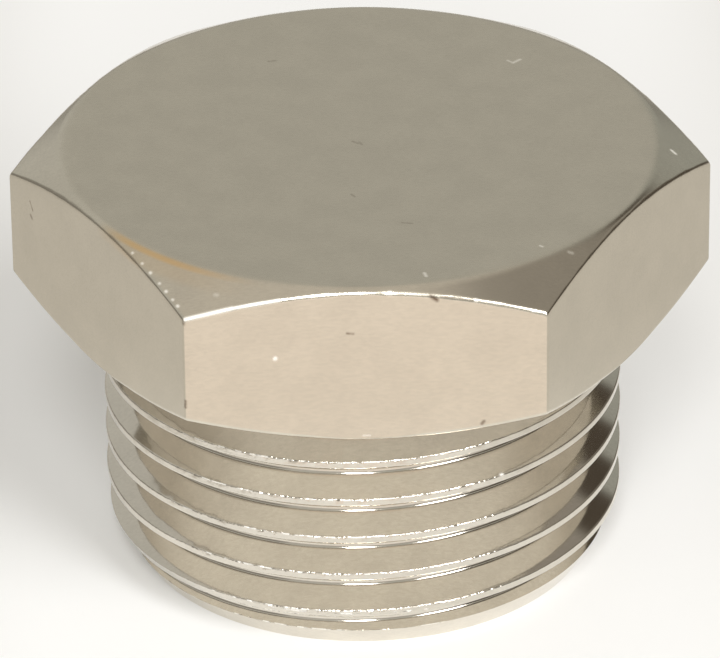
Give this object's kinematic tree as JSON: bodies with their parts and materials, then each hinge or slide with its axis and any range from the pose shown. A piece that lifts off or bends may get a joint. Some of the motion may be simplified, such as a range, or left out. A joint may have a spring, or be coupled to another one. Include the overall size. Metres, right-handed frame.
{
  "type": "pipe plug",
  "caption": "Hexagon-head pipe plug in nickel-plated brass that closes a 3/8 inch parallel female pipe thread, sealing under its head.",
  "frame": {"origin": "centre of the threaded end face, on which the plug stands", "axes": "+Z along the thread axis towards the head, two hexagon flats face -Y and +Y, two hexagon corners lie on -X and +X"},
  "size_m": [0.022, 0.019, 0.0138],
  "materials": {
    "nickel_plated_brass": "nickel plated over turned brass, satin bright with fine handling scratches"
  },
  "bodies": {
    "root": {"hex_plug": "nickel_plated_brass"}
  },
  "joints": []
}
